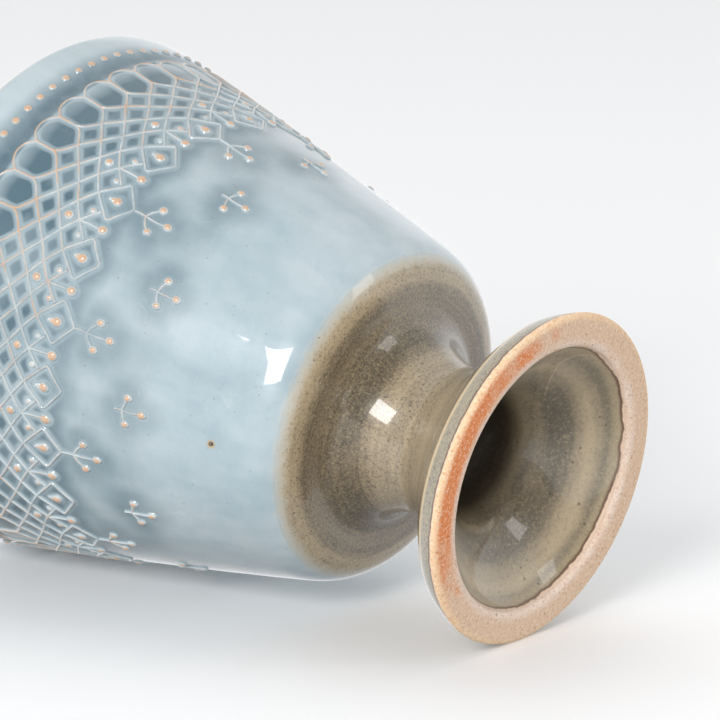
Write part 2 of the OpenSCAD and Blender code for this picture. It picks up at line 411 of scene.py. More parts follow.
def group_place():
    tree, given, end = new_tree("Place on the wheel", "ShaderNodeTree", {"Position": "Vector"}, {
        "Radius": "Float", "Height": "Float", "Angle": "Float", "Ring": "Vector"})
    split = apart(given["Position"])
    flat = vector(split["X"], split["Y"])
    radius = vector_sum("LENGTH", flat)
    link(sums("DIVIDE", radius, MM), end["Radius"])
    link(sums("DIVIDE", split["Z"], MM), end["Height"])
    link(times(sums("ARCTAN2", split["Y"], split["X"]), 180 / math.pi), end["Angle"])
    link(vector_sum("ADD", vector(radius, 0, split["Z"]), vector_sum("SCALE", flat, scale=0.06)), end["Ring"])
    return tree


def group_specks():
    tree, given, end = new_tree("Specks", "ShaderNodeTree", {
        "Position": "Vector", "Spacing": 1.0, "Size": 0.3, "Share": 0.5}, {"Mask": "Float"})
    scale = sums("DIVIDE", 1 / MM, given["Spacing"])
    cells = add("ShaderNodeTexVoronoi", {"Vector": given["Position"], "Scale": scale})
    lot = apart(cells.outputs["Color"])
    chosen = sums("LESS_THAN", lot["X"], given["Share"])
    size = times(given["Size"], plus(0.5, lot["Y"]))
    dot = minus(1.0, sums("DIVIDE", cells.outputs["Distance"], size), clamp=True)
    soft = between(dot, 0.0, 0.55)
    link(times(soft, chosen), end["Mask"])
    return tree


def group_streaks():
    tree, given, end = new_tree("Throwing streaks", "ShaderNodeTree", {"Ring": "Vector", "Gap": 1.0}, {
        "Broad": "Float", "Fine": "Float"})
    scale = sums("DIVIDE", 1 / MM, given["Gap"])
    for label, often, detail in (("Broad", 0.35, 2.0), ("Fine", 2.2, 3.0)):
        streak = add("ShaderNodeTexNoise", {"Vector": given["Ring"], "Detail": detail,
                                            "Scale": times(scale, often)})
        link(streak.outputs["Fac"], end[label])
    return tree


def group_crazing():
    tree, given, end = new_tree("Crazing", "ShaderNodeTree", {
        "Position": "Vector", "Cell": 6.0, "Width": 0.02}, {"Mask": "Float"})
    bend = add("ShaderNodeTexNoise", {"Vector": given["Position"], "Scale": 0.25 / MM, "Detail": 1.0})
    bent = vector_sum("ADD", given["Position"], vector_sum("SCALE", bend.outputs["Color"], scale=1.6 * MM))
    scale = sums("DIVIDE", 1 / MM, given["Cell"])
    edge = add("ShaderNodeTexVoronoi", {"Vector": bent, "Scale": scale}, feature="DISTANCE_TO_EDGE")
    line = between(edge.outputs["Distance"], 0.0, given["Width"], 1.0, 0.0)
    fade = noise(given["Position"], 0.12, 1.0)
    link(times(line, between(fade, 0.45, 0.62)), end["Mask"])
    return tree


place_group, specks_group = group_place(), group_specks()
streaks_group, crazing_group = group_streaks(), group_crazing()


def on_wheel(spot):
    """Where a point is on the wheel."""
    return use(place_group, {"Position": spot})


def streaks(place, gap):
    """Streaks that run round the pot, with this gap between them in millimetres."""
    return use(streaks_group, {"Ring": place["Ring"], "Gap": gap})


def specks(spot, spacing, size, share):
    """Specks with this spacing in millimetres, of which a share shows."""
    return use(specks_group, {"Position": spot, "Spacing": spacing, "Size": size, "Share": share})["Mask"]


print("shared groups:", [g.name for g in (place_group, specks_group, streaks_group, crazing_group)])

# %% [markdown]
# ## The colours of the two outer glazes
# The grey-blue glaze covers the wall and the olive-brown one the underside, the stem and the
# foot. They meet softly at the base corner, so one group holds both colours and changes from one
# to the other by height. The blue glaze is thin and pale over raised slip and thick and deep in
# the cells of the lace. `Gap` is the distance in millimetres to the nearest trailed slip.

# %% The outer glaze group

BLUE_PALE, BLUE_MID, BLUE_DEEP = tint(184, 197, 202), tint(152, 172, 181), tint(82, 108, 120)
BROWN_LIGHT, BROWN_MID, BROWN_DARK = tint(188, 168, 136), tint(130, 115, 91), tint(72, 65, 52)
LIP_PALE, LIP_EDGE = tint(190, 204, 208), tint(168, 158, 142)
IRON_A, IRON_R, IRON_Z = math.radians(246.8), 30.65, 42.0  # where the largest speck of iron burnt through
IRON_SPOT = Vector((IRON_R * math.cos(IRON_A), IRON_R * math.sin(IRON_A), IRON_Z)) * MM


def blue_colour(spot, place, gap):
    """Colour of the blue glaze, paler where it is thin and deeper where it pools. The groove under the lip
    also carries painted shade, and the petals a painted highlight at their rim side and painted shade lower
    down.
    """
    height = place["Height"]
    cloud = noise(spot, 0.045, 3.0)
    small = noise(spot, 0.35, 2.0)
    drip = noise(vector_sum("MULTIPLY", spot, (1.0, 1.0, 0.12)), 0.22, 2.0)
    thick = plus(between(cloud, 0.25, 0.8, 0.1, 0.85), between(small, 0.3, 0.7, -0.1, 0.1))
    thick = plus(thick, between(drip, 0.3, 0.7, -0.16, 0.16), clamp=True)
    colour = mix(thick, BLUE_PALE, BLUE_MID)
    zone = band(height, 62.0, 76.0, 90.4, 91.2)
    away = between(gap, 0.0, 0.75, 0.3, 1.0)
    depth = between(noise(spot, 0.11, 2.0), 0.3, 0.7, 0.72, 1.05)
    pooling_and_painted_light = times(times(zone, away), depth)
    # Petals: paled towards the rim as a painted highlight, and deepened lower down as pooled glaze and
    # painted shade.
    petal = times(between(height, 82.8, 84.5), between(height, 90.2, 85.5, -0.45, 0.3))
    pooling_and_painted_light = plus(pooling_and_painted_light, times(petal, away))
    run = times(band(height, 51.0, 57.5, 69.0, 76.0), between(noise(spot, 0.09, 3.0), 0.3, 0.7, 0.13, 0.35))
    pooling_and_painted_light = sums("MAXIMUM", pooling_and_painted_light, run)
    halo = times(between(gap, 4.2, 0.3), between(gap, 0.0, 0.4, 0.5, 1.0))
    halo = times(halo, between(height, 74.0, 68.0, 0.0, 0.3))
    # The groove under the lip is darkened as pooled glaze and painted shade.
    groove = times(band(height, 89.6, 90.9, 91.4, 97.6), between(small, 0.3, 0.7, 0.86, 1.0))
    pooling_and_painted_light = sums("MAXIMUM", plus(pooling_and_painted_light, halo), groove, clamp=True)
    spot_gap = vector_sum("DISTANCE", spot, IRON_SPOT)
    iron = times(between(spot_gap, 0.55 * MM, 0.35 * MM), between(noise(spot, 1.2, 2.0), 0.4, 0.5))
    return washes(colour, (pooling_and_painted_light, 1.0, BLUE_DEEP), (between(height, 95.0, 97.5), 0.5, LIP_PALE),
                  (between(height, 100.9, 101.5), 0.7, LIP_EDGE),
                  (between(spot_gap, 0.9 * MM, 0.5 * MM), 0.7, tint(190, 150, 70)),
                  (iron, 1.0, tint(44, 38, 34)))


def brown_colour(spot, place):
    """Colour of the brown glaze, with streaks round the pot, fine grain, and painted shade in the neck's
    throat and under the bowl.
    """
    height, radius = place["Height"], place["Radius"]
    streak = streaks(place, 1.2)
    grain = noise(spot, 2.3, 4.0, 0.9)
    cloud = noise(spot, 0.18, 3.0)
    tone = plus(plus(times(streak["Broad"], 0.8), times(streak["Fine"], 0.5)), times(cloud, 0.4))
    colour = mix(between(tone, 0.66, 1.04), BROWN_DARK, BROWN_LIGHT)
    colour = mix(0.45, colour, BROWN_MID)
    # The throat of the neck and the underside of the bowl are darkened as painted shade under the bowl.
    stem, throat = band(height, 5.0, 9.0, 22.5, 27.5), band(height, 22.5, 27.5, 29.4, 30.2)
    under = times(between(height, 28.6, 29.9), between(radius, 23.4, 22.2))
    outer_band = times(between(radius, 22.4, 23.8), between(height, 29.0, 30.0))
    foot_side = between(height, 5.2, 4.6)
    arris, toast = band(height, 3.3, 3.8, 4.5, 4.9), band(height, 4.25, 4.4, 4.6, 4.75)
    return washes(colour, (stem, 0.45, tint(196, 180, 153)), (throat, 0.55, BROWN_DARK),
                  (under, 0.42, BROWN_DARK), (outer_band, 0.42, tint(196, 178, 146)),
                  (foot_side, 0.75, tint(160, 152, 134)),
                  (between(grain, 0.51, 0.64), 0.75, tint(56, 50, 41)),
                  (between(grain, 0.5, 0.36), 0.5, tint(184, 164, 128)), (arris, 0.8, tint(226, 203, 166)),
                  (toast, between(cloud, 0.35, 0.6, 0.2, 0.9), tint(176, 116, 66)))


def group_outer():
    tree, given, end = new_tree("Outer glazes", "ShaderNodeTree", {"Position": "Vector", "Gap": 5.0}, {
        "Color": "Color", "Blue": "Float", "Relief": "Float"})
    spot = given["Position"]
    place = on_wheel(spot)
    level = plus(place["Height"], wander(spot, 0.7, 0.9))
    blue_share = between(level, CHANGE_Z - 1.3, CHANGE_Z + 0.1)
    colour = mix(blue_share, brown_colour(spot, place), blue_colour(spot, place, given["Gap"]))
    line = band(level, CHANGE_Z - 1.6, CHANGE_Z - 0.7, CHANGE_Z - 0.4, CHANGE_Z + 0.5)
    craze = times(use(crazing_group, {"Position": spot, "Cell": 4.0, "Width": 0.012})["Mask"], blue_share)
    colour = washes(colour, (line, 0.45, tint(204, 198, 182)),
                    (specks(spot, 1.3, 0.12, 0.5), between(blue_share, 0.0, 1.0, 0.8, 0.3), tint(52, 50, 46)),
                    (specks(spot, 0.7, 0.2, 0.3), between(blue_share, 0.0, 1.0, 0.12, 0.1),
                     tint(206, 190, 160)), (craze, 0.14, tint(222, 228, 230)))
    link(colour, end["Color"])
    link(blue_share, end["Blue"])
    streak = streaks(place, 2.2)
    relief = plus(times(streak["Broad"], 0.8), times(noise(spot, 0.8, 2.0), 0.35))
    link(plus(relief, times(streak["Fine"], 0.12)), end["Relief"])
    return tree


outer_group = group_outer()
print("the outer glaze group has", len(outer_group.nodes), "nodes")

# %% [markdown]
# ## The materials
# A glaze is a sheet of glass over clay: a coloured body below and a clear, very smooth coat on
# top. The bare ring is the opposite, dry and open, with a sandy grain. The trailed slip is white
# under thin glaze at its sides and toasts to orange on its crowns, where the glaze runs off.

# %% Material helper and glazes


def material(name, roughness, coat=0.0, specular=0.5):
    """An empty material, put on the bench: itself, its shader and its Object coordinates."""
    made = bpy.data.materials.new(name)
    made.use_nodes = True
    bench["tree"] = made.node_tree
    shader = made.node_tree.nodes["Principled BSDF"]
    for label, value in (("Roughness", roughness), ("Coat Weight", coat), ("Coat Roughness", 0.03),
                         ("Specular IOR Level", specular)):
        shader.inputs[label].default_value = value
    return made, shader, add("ShaderNodeTexCoord").outputs["Object"]


def bump(shader, height, depth):
    """Feeds a height, with its depth in millimetres, to the shader's normal."""
    made = add("ShaderNodeBump", {"Height": height, "Strength": 1.0, "Distance": depth * MM})
    link(made.outputs["Normal"], shader.inputs["Normal"])


def attribute(name):
    """A value that the mesh carries."""
    return add("ShaderNodeAttribute", attribute_name=name).outputs["Fac"]


def bare_edge(shader, colour, level, low, high, roughness):
    """Shows dry clay past a glaze's uneven edge, with the dark line that the edge burns to."""
    line = band(level, low - 0.3, low, high - 0.1, high + 0.1)
    colour = mix(times(line, 0.85), colour, tint(92, 56, 36))
    bare = between(level, low, high)
    link(mix(bare, colour, tint(228, 200, 176)), shader.inputs["Base Color"])
    link(between(bare, 0.0, 1.0, roughness, 0.8), shader.inputs["Roughness"])
    link(minus(1.0, bare), shader.inputs["Coat Weight"])


def material_outer(name, roughness, depth):
    made, shader, spot = material(name, roughness, coat=1.0)
    outer = use(outer_group, {"Position": spot, "Gap": attribute("slip_gap")})
    level = times(plus(on_wheel(spot)["Height"], wander(spot, 0.5, 0.8)), -1.0)
    bare_edge(shader, outer["Color"], level, -1.15, -0.85, roughness)
    bump(shader, outer["Relief"], depth)
    return made


blue_glaze = material_outer("blue glaze", 0.32, 0.07)
brown_glaze = material_outer("brown glaze", 0.34, 0.11)

# %% The glaze in the hollow of the foot, and the liner glaze


def material_hollow():
    made, shader, spot = material("hollow glaze", 0.3, coat=1.0)
    place = on_wheel(spot)
    streak = streaks(place, 1.8)
    tone = plus(times(streak["Broad"], 1.2), times(noise(spot, 0.16, 3.0), 0.3))
    colour = mix(between(tone, 0.56, 0.95), tint(102, 93, 78), tint(178, 159, 129))
    grain, radius = noise(spot, 1.7, 4.0, 0.85), place["Radius"]
    # The well, the narrow hole in the middle, is painted nearly black as painted shade.
    rim, dish, well = between(radius, 19.8, 20.8), between(radius, 13.0, 18.5), between(radius, 11.2, 8.9)
    colour = washes(colour, (rim, 0.35, tint(208, 186, 148)),
                    (between(grain, 0.53, 0.7), 0.6, tint(64, 56, 46)),
                    (between(grain, 0.5, 0.34), 0.45, tint(192, 172, 138)), (dish, 0.16, tint(204, 190, 160)),
                    (well, 0.85, tint(42, 36, 27)), (specks(spot, 1.4, 0.18, 0.5), 0.6, tint(56, 48, 40)))
    bare_edge(shader, colour, plus(radius, wander(spot, 0.3, 0.7)), RING_IN - 0.25, RING_IN - 0.1, 0.3)
    bump(shader, plus(streak["Broad"], times(noise(spot, 0.6, 2.0), 0.5)), 0.16)
    return made


def material_liner():
    made, shader, spot = material("liner glaze", 0.3, coat=1.0)
    place = on_wheel(spot)
    height = place["Height"]
    colour = mix(between(noise(spot, 0.05, 3.0), 0.35, 0.68), BLUE_PALE, BLUE_MID)
    craze = use(crazing_group, {"Position": spot})["Mask"]
    colour = washes(colour, (between(height, 46.0, 36.0), 0.55, BLUE_DEEP),
                    (between(height, 100.9, 101.5), 0.7, LIP_EDGE), (craze, 0.25, tint(228, 232, 232)),
                    (specks(spot, 2.0, 0.14, 0.4), 0.4, tint(60, 58, 54)))
    link(colour, shader.inputs["Base Color"])
    bump(shader, streaks(place, 2.6)["Broad"], 0.18)
    return made


hollow_glaze, liner_glaze = material_hollow(), material_liner()

# %% Bare clay, joining slip and trailed slip


FLAME_SIDE = -91.0  # degrees round the ring, where the flame reached it


def material_clay(name, pale, flash, flashing):
    """Fired clay. Flame flashes one side of the ring to a stronger orange."""
    made, shader, spot = material(name, 0.82, specular=0.25)
    place = on_wheel(spot)
    grain, patch, radius = noise(spot, 1.9, 4.0, 0.9), noise(spot, 0.22, 3.0), place["Radius"]
    side = sums("COSINE", times(minus(place["Angle"], FLAME_SIDE), math.pi / 180))
    burnt = plus(side, between(patch, 0.25, 0.75, -0.2, 0.2))
    middle = band(radius, 21.9, 23.8, 25.6, 27.3)
    colour = mix(times(times(between(burnt, 0.36, 0.92), flashing), middle), pale, flash)
    pit = specks(spot, 0.7, 0.3, 0.45)
    colour = washes(colour, (between(radius, 23.6, 22.2), between(patch, 0.3, 0.6, 0.3, 0.8),
                             tint(236, 216, 202)),
                    (between(radius, 25.6, 26.6), 0.5, tint(252, 216, 170)),
                    (between(grain, 0.5, 0.64), 0.8, tint(246, 226, 204)),
                    (between(grain, 0.46, 0.34), 0.6, tint(186, 112, 68)), (pit, 0.3, tint(168, 104, 66)),
                    (specks(spot, 1.3, 0.12, 0.35), 0.7, tint(84, 54, 40)))
    link(colour, shader.inputs["Base Color"])
    bump(shader, minus(grain, times(pit, 0.6)), 0.1)
    return made


bare_clay = material_clay("bare clay", tint(226, 194, 166), tint(228, 136, 78), 1.0)
joint_slip = material_clay("joining slip", tint(226, 196, 164), tint(214, 160, 120), 0.3)


def material_trailed():
    made, shader, spot = material("trailed slip", 0.3, coat=1.0)
    crown = attribute("crown")
    outer = use(outer_group, {"Position": spot, "Gap": 0.0})
    high = plus(crown, between(on_wheel(spot)["Height"], 74.0, 87.0, -0.06, 0.24))
    high = plus(high, times(minus(noise(spot, 0.3, 2.0), 0.5), 1.1))
    white = times(between(crown, 0.05, 0.85), between(noise(spot, 0.45, 2.0), 0.3, 0.65, 0.34, 0.74))
    colour = washes(outer["Color"], (white, 1.0, tint(210, 216, 215)),
                    (between(high, 0.76, 1.24), 0.88, tint(208, 166, 130)))
    link(colour, shader.inputs["Base Color"])
    bump(shader, noise(spot, 1.6, 2.0), 0.05)
    return made


trailed_slip = material_trailed()
print("materials:", [m.name for m in bpy.data.materials])

# %% [markdown]
# ## Throwing the pieces
# Each coat is its outline and the same outline moved in by the coat's thickness, closed into a
# ring of points. The clay of the foot shows only at the ring that the vase stands on, so it is
# turned finely there. The bowl's clay and the slip in the joint are never seen, and stay as the
# CAD made them.

# %% Coats and the foot


def shell(line, t):
    """A closed outline: the line, and the same line moved by t, run backwards."""
    back = inset(line, t)[::-1]
    return line + back[::4] + ([back[-1]] if (len(back) - 1) % 4 else []) + [line[0]]


blue_coat = throw("blue_coat", shell(blue_line, COAT), blue_glaze, columns=548, waver=0.1)
brown_coat = throw("brown_coat", shell(brown_line, COAT), brown_glaze, columns=320, waver=0.12, seed=7.0)
hollow_coat = throw("hollow_coat", shell(hollow_line, -COAT), hollow_glaze, columns=256, waver=0.2, seed=11.0)
liner_coat = throw("liner_coat", shell(liner_line, COAT), liner_glaze, columns=256, waver=0.12, seed=5.0)

ring_low = [[RING_IN + SHOULDER + (RING_R - RING_IN - 2 * SHOULDER) * i / 8, 0.0] for i in range(9)]
ring_out = curve([RING_R - SHOULDER + 0.25, 0.01], [RING_R - 0.45, 0.06], [RING_R - 0.03, 0.3],
                 [RING_R, RING_H], 7)
ring_back = curve([RING_IN, RING_H], [RING_IN + 0.03, 0.3], [RING_IN + 0.45, 0.06],
                  [RING_IN + SHOULDER - 0.25, 0.01], 7)
clay_side = inset([p for p in brown_line if 1 < p[1] < UNDER_Z - 1.1][::2], COAT)
clay_roof = [[14.6, 29.8], [0, 29.8], [0, HOLLOW_TOP + COAT]]
clay_hollow = [p for p in inset(hollow_line[::2], -COAT)[::-1] if p[0] > 0.1 and p[1] > RING_H]
foot_line = ring_low + ring_out + clay_side + clay_roof + clay_hollow + ring_back + [ring_low[0]]
foot_clay = throw("foot_clay", foot_line, bare_clay, columns=320, waver=0.06, seed=2.0)

# %% [markdown]
# ## The lace, drawn flat
# The lace is drawn on a flat plan first: across is the arc round the pot and up is the height.
# Round the wall it repeats 22 times, and each repeat spans four steps. A stroke is a run of
# points, each with the thickness of the line there; a dot is a single point with its own radius.

# %% Plan of the lace

REPEATS, STEPS = 22, 4  # repeats round the pot, and steps in each
PLAN_R = 40.0  # wall radius that the plan is drawn for
STEP = math.tau / (REPEATS * STEPS) * PLAN_R
ROWS = [85.8, 83.0, 80.7, 78.6, 76.8, 74.8, 72.4]
JOINT_Z, CROWN_Z, BEAD_Z = 89.0, 90.8, 94.5
FRAME_Z, FRAME_HALF = (74.8, 71.0, 68.0), 1.36


class Plan:
    """Strokes and dots on the flat plan, in steps across and millimetres up."""

    def __init__(self):
        self.points, self.edges, self.thick, self.dot = [], [], [], []

    def point(self, a, z, thick=1.0, dot=0.0):
        self.points.append([a * STEP, z, 0])
        self.thick.append(thick)
        self.dot.append(dot)
        return len(self.points) - 1

    def stroke(self, run, thick=1.0, ends=(0.5, 0.5), closed=False):
        numbers = [self.point(a, z, thick) for a, z in run]
        if not closed:
            self.thick[numbers[0]], self.thick[numbers[-1]] = thick * ends[0], thick * ends[1]
        self.edges += list(zip(numbers, numbers[1:])) + ([(numbers[-1], numbers[0])] if closed else [])

    def object(self, name):
        piece = piece_from(name, self.points, self.edges)
        for label, values in (("thick", self.thick), ("dot", self.dot)):
            piece.data.attributes.new(label, "FLOAT", "POINT").data.foreach_set("value", values)
        return piece


REACH = (-1, -0.85, -0.5, 0, 0.5, 0.85, 1)  # places across a scallop, in steps from its middle


def plan_scallops():
    plan = Plan()
    for a in (1, 3):
        arc = [(a + s, JOINT_Z + (CROWN_Z - JOINT_Z) * (1 - abs(s) ** 2.2)) for s in REACH]
        plan.stroke(arc, 0.95, ends=(0.8, 0.8))
        plan.stroke([(a - 1, JOINT_Z + 0.1), (a - 1, 87.4), (a - 1, ROWS[0]), (a - 0.86, 84.9),
                     (a - 0.5, 84.0), (a, ROWS[1])], 1.0, ends=(0.8, 0.7))
        plan.stroke([(a + 1, ROWS[0]), (a + 0.86, 84.9), (a + 0.5, 84.0), (a, ROWS[1])], 0.95,
                    ends=(0.7, 0.7))
    return plan


def plan_net():
    plan = Plan()
    for start, way, last in ((0, 1, 5), (2, 1, 6), (0, -1, 6), (2, -1, 5)):
        plan.stroke([(start + way * k, ROWS[k]) for k in range(1, last + 1)], 0.85, ends=(0.8, 0.6))
    return plan


def plan_lozenges():
    plan = Plan()
    top, middle, low = FRAME_Z
    corners = [(1, top), (1 + FRAME_HALF, middle), (1, low), (1 - FRAME_HALF, middle)]
    run = []
    for p, q in zip(corners, corners[1:] + corners[:1]):
        run += [(p[0] + (q[0] - p[0]) * s, p[1] + (q[1] - p[1]) * s) for s in (0.07, 0.35, 0.65, 0.93)]
    plan.stroke(run, 0.95, closed=True)
    return plan


def plan_sprig(a, z, stem, arm, drop, tail):
    """A stem that forks into three, each fork ending in a dot."""
    plan = Plan()
    plan.stroke([(a, z + stem), (a + 0.03, z + stem * 0.5), (a, z)], 0.85, ends=(0.8, 0.9))
    plan.stroke([(a, z), (a - 0.04, z - tail * 0.5), (a, z - tail)], 0.7, ends=(0.9, 0.7))
    for side in (-1, 1):
        plan.stroke([(a, z + 0.1), (a + side * arm * 0.5, z - drop * 0.3), (a + side * arm, z - drop)], 0.65,
                    ends=(0.9, 0.7))
        plan.point(a + side * arm, z - drop, dot=0.78)
    plan.point(a, z - tail, dot=0.8)
    return plan


def plan_dots(*spots):
    """Single dots, each given by its place across, its height and its radius."""
    plan = Plan()
    for a, z, dot in spots:
        plan.point(a, z, dot=dot)
    return plan


def plan_pins():
    plan = Plan()
    plan.stroke([(3, ROWS[5] - 0.2), (3.02, 72.8), (3, 70.9)], 1.05, ends=(0.7, 1.2))
    plan.point(3, 70.5, dot=0.9)
    return plan


# %% [markdown]
# ## A slip trailer in Geometry Nodes
# The tree sweeps a rounded ridge along every stroke and sets a flattened dome on every dot, then
# repeats the flat motif round the pot. A slow noise makes the hand waver. At the end, each point
# is dropped onto the wall with a ray towards the axis, and stands off it by its own height, so
# the lace follows the wall and the groove exactly. The height is also kept as the attribute
# `crown`, which the slip's finish reads.

# %% The trailer

CLEAR = 0.08  # metres from the axis, well outside the wall
FOOT = 0.03 * MM  # how deep a line's foot is sunk into the wall


def ridge_profile(width, height):
    """Closed section of a trailed line: a soft ridge whose foot is sunk into the wall."""
    base = node("GeometryNodeCurvePrimitiveLine", {"Start": (-1, 0, 0), "End": (1, 0, 0)})
    fine = node("GeometryNodeResampleCurve", {"Curve": base, "Count": 9})
    split = apart(node("GeometryNodeInputPosition"))
    bell = times(plus(sums("COSINE", times(split["X"], math.pi)), 1), 0.5)
    place = vector(times(split["X"], width), minus(FOOT, times(bell, plus(height, FOOT))))
    shaped = node("GeometryNodeSetPosition", {"Geometry": fine, "Position": place})
    return node("GeometryNodeSetSplineCyclic", {"Geometry": shaped, "Cyclic": True})


def dome(rise):
    """Unit dome with a flared foot and a flat base just under the wall."""
    ball = add("GeometryNodeMeshUVSphere", {"Segments": 14, "Rings": 9, "Radius": 1.0}).outputs["Mesh"]
    split = apart(node("GeometryNodeInputPosition"))
    top = sums("MAXIMUM", split["Z"], 0.0)
    flare = plus(1.0, times(sums("POWER", minus(1.0, top), 5.0), 0.18))
    low = times(sums("MINIMUM", split["Z"], 0.0), 0.06)
    up = plus(times(top, rise), minus(low, 0.05))
    place = vector(times(split["X"], flare), times(split["Y"], flare), up)
    return node("GeometryNodeSetPosition", {"Geometry": ball, "Position": place})


def number(name):
    """A number that the plan carries on its points."""
    return add("GeometryNodeInputNamedAttribute", {"Name": name}, data_type="FLOAT").outputs["Attribute"]


def tree_trailer():
    tree, given, end = new_tree("Slip trailer", "GeometryNodeTree", {
        "Plan": "Geometry", "Repeats": 22, "Spacing": 0.011, "Half Width": 0.0005, "Line Height": 0.00042,
        "Dot Rise": 0.75, "Waver": 0.0003, "Seed": 1.0, "Wall": "Object", "Plan Radius": 0.04,
        "Finish": "Material"}, {"Geometry": "Geometry"})
    position = node("GeometryNodeInputPosition")
    lines = node("GeometryNodeMeshToCurve", {"Mesh": given["Plan"]})
    soft = node("GeometryNodeCurveSplineType", {"Curve": lines}, spline_type="CATMULL_ROM")
    even = node("GeometryNodeResampleCurve", {"Curve": soft, "Length": 0.42 * MM}, mode="LENGTH")
    beat = add("ShaderNodeTexNoise", {"Vector": position, "W": given["Seed"], "Scale": 0.55 / MM,
                                      "Detail": 1.0}, noise_dimensions="4D").outputs["Fac"]
    swell = times(number("thick"), between(beat, 0.3, 0.7, 0.86, 1.14))
    thick = node("GeometryNodeSetCurveRadius", {"Curve": even, "Radius": swell})
    ridge = ridge_profile(given["Half Width"], given["Line Height"])
    swept = node("GeometryNodeCurveToMesh", {"Curve": thick, "Profile Curve": ridge, "Fill Caps": True})

    radius = times(number("dot"), MM)
    dotted = node("FunctionNodeCompare", {0: number("dot"), 1: 0.01}, operation="GREATER_THAN")
    size = vector(radius, radius, radius)
    spots = node("GeometryNodeInstanceOnPoints",
                 {"Points": given["Plan"], "Selection": dotted, "Instance": dome(given["Dot Rise"]),
                  "Scale": size})
    both = add("GeometryNodeJoinGeometry")
    for part in (swept, spots):
        link(part, both.inputs[0])
    step = vector(given["Spacing"])
    row = node("GeometryNodeMeshLine", {"Count": given["Repeats"], "Offset": step})
    copies = node("GeometryNodeInstanceOnPoints", {"Points": row, "Instance": both.outputs[0]})
    flat = node("GeometryNodeRealizeInstances", {"Geometry": copies})

    split = apart(position)
    angle = sums("DIVIDE", split["X"], given["Plan Radius"])
    cos, sin = sums("COSINE", angle), sums("SINE", angle)
    round_spot = vector(times(given["Plan Radius"], cos), times(given["Plan Radius"], sin), split["Y"])
    hand = add("ShaderNodeTexNoise", {"Vector": round_spot, "W": given["Seed"], "Scale": 0.16 / MM,
                                      "Detail": 1.0}, noise_dimensions="4D").outputs["Color"]
    sway = vector_sum("SCALE", vector_sum("SUBTRACT", hand, (0.5, 0.5, 0.5)), scale=given["Waver"])
    level = apart(sway)
    drift = vector(level["X"], level["Y"])
    kept = node("GeometryNodeStoreNamedAttribute",
                {"Geometry": flat, "Name": "crown",
                 "Value": sums("DIVIDE", split["Z"],
                               given["Line Height"])}, data_type="FLOAT", domain="POINT")
    drawn = node("GeometryNodeSetPosition", {"Geometry": kept, "Offset": drift})

    target = add("GeometryNodeObjectInfo", {"Object": given["Wall"]}).outputs["Geometry"]
    outside = vector(times(cos, CLEAR), times(sin, CLEAR), split["Y"])
    inwards = vector(times(cos, -1.0), times(sin, -1.0))
    ray = add("GeometryNodeRaycast", {"Target Geometry": target, "Source Position": outside,
                                      "Ray Direction": inwards, "Ray Length": CLEAR})
    stand = vector_sum("SCALE", ray.outputs["Hit Normal"], scale=split["Z"])
    placed = vector_sum("ADD", ray.outputs["Hit Position"], stand)
    wrapped = node("GeometryNodeSetPosition", {"Geometry": drawn, "Position": placed})
    smooth = node("GeometryNodeSetShadeSmooth", {"Geometry": wrapped})
    set_finish(smooth, given, end)
    return tree


trailer = tree_trailer()
print("the trailer has", len(trailer.nodes), "nodes")

# %% Trail the lace onto the wall

lace = bpy.data.collections.new("lace")
bpy.context.scene.collection.children.link(lace)


def trail(name, plan, repeats=REPEATS, steps=STEPS, waver=0.35, rise=0.72, seed=1.0):
    """Trails a plan round the wall and puts the piece in the lace collection."""
    piece = plan.object(name)
    grow(piece, trailer, {"Repeats": repeats, "Spacing": steps * STEP * MM, "Half Width": 0.38 * MM,
                          "Line Height": 0.36 * MM, "Dot Rise": rise, "Waver": waver * MM, "Seed": seed,
                          "Wall": blue_coat, "Plan Radius": PLAN_R * MM, "Finish": trailed_slip})
    outwards(piece)
    sharpen(piece, 50)
    bpy.context.scene.collection.objects.unlink(piece)
    lace.objects.link(piece)
    return piece


rim_bead_row = trail("rim_bead_row", plan_dots((0.5, BEAD_Z, 0.68)), repeats=REPEATS * STEPS, steps=1,
                     waver=0.3)
scallops = trail("scallops", plan_scallops())
net = trail("net", plan_net())
lozenges = trail("lozenges", plan_lozenges())
lozenge_seeds = trail("lozenge_seeds", plan_dots((1, 71.1, 0.9), (1, 71.9, 0.62), (1, 72.5, 0.4)), rise=0.7)
net_dots = trail("net_dots", plan_dots((3, ROWS[4], 0.82)))
side_dots = trail("side_dots", plan_dots((2.15, 73.6, 0.62), (3.85, 73.6, 0.62)))
pin_strokes = trail("pin_strokes", plan_pins())
hanging_strokes = trail("hanging_strokes", plan_sprig(1, 65.7, 2.2, 0.86, 1.7, 4.0), repeats=REPEATS // 2,
                        steps=2 * STEPS)
free_strokes = trail("free_strokes", plan_sprig(5, 57.3, 1.4, 0.88, 0.7, 3.3), repeats=REPEATS // 2,
                     steps=2 * STEPS)

# %% [markdown]
# ## Where the glaze pools
# Glaze runs off raised slip and collects beside it. A last tree measures, for every point of the
# wall, the distance to the nearest trailed slip, and stores it for the glaze's finish to read.

# %% Measure the gap to the slip


def tree_gap():
    tree, given, end = new_tree("Gap to the slip", "GeometryNodeTree", {
        "Geometry": "Geometry", "Lace": "Collection", "Farthest": 6.0, "Finish": "Material"},
        {"Geometry": "Geometry"})
    pieces = node("GeometryNodeCollectionInfo", {"Collection": given["Lace"]})
    slip = node("GeometryNodeRealizeInstances", {"Geometry": pieces})
    near = add("GeometryNodeProximity", {"Geometry": slip}, target_element="FACES").outputs["Distance"]
    gap = sums("MINIMUM", sums("DIVIDE", near, MM), given["Farthest"])
    kept = node("GeometryNodeStoreNamedAttribute",
                {"Geometry": given["Geometry"], "Name": "slip_gap", "Value": gap}, data_type="FLOAT",
                domain="POINT")
    set_finish(kept, given, end)
    return tree


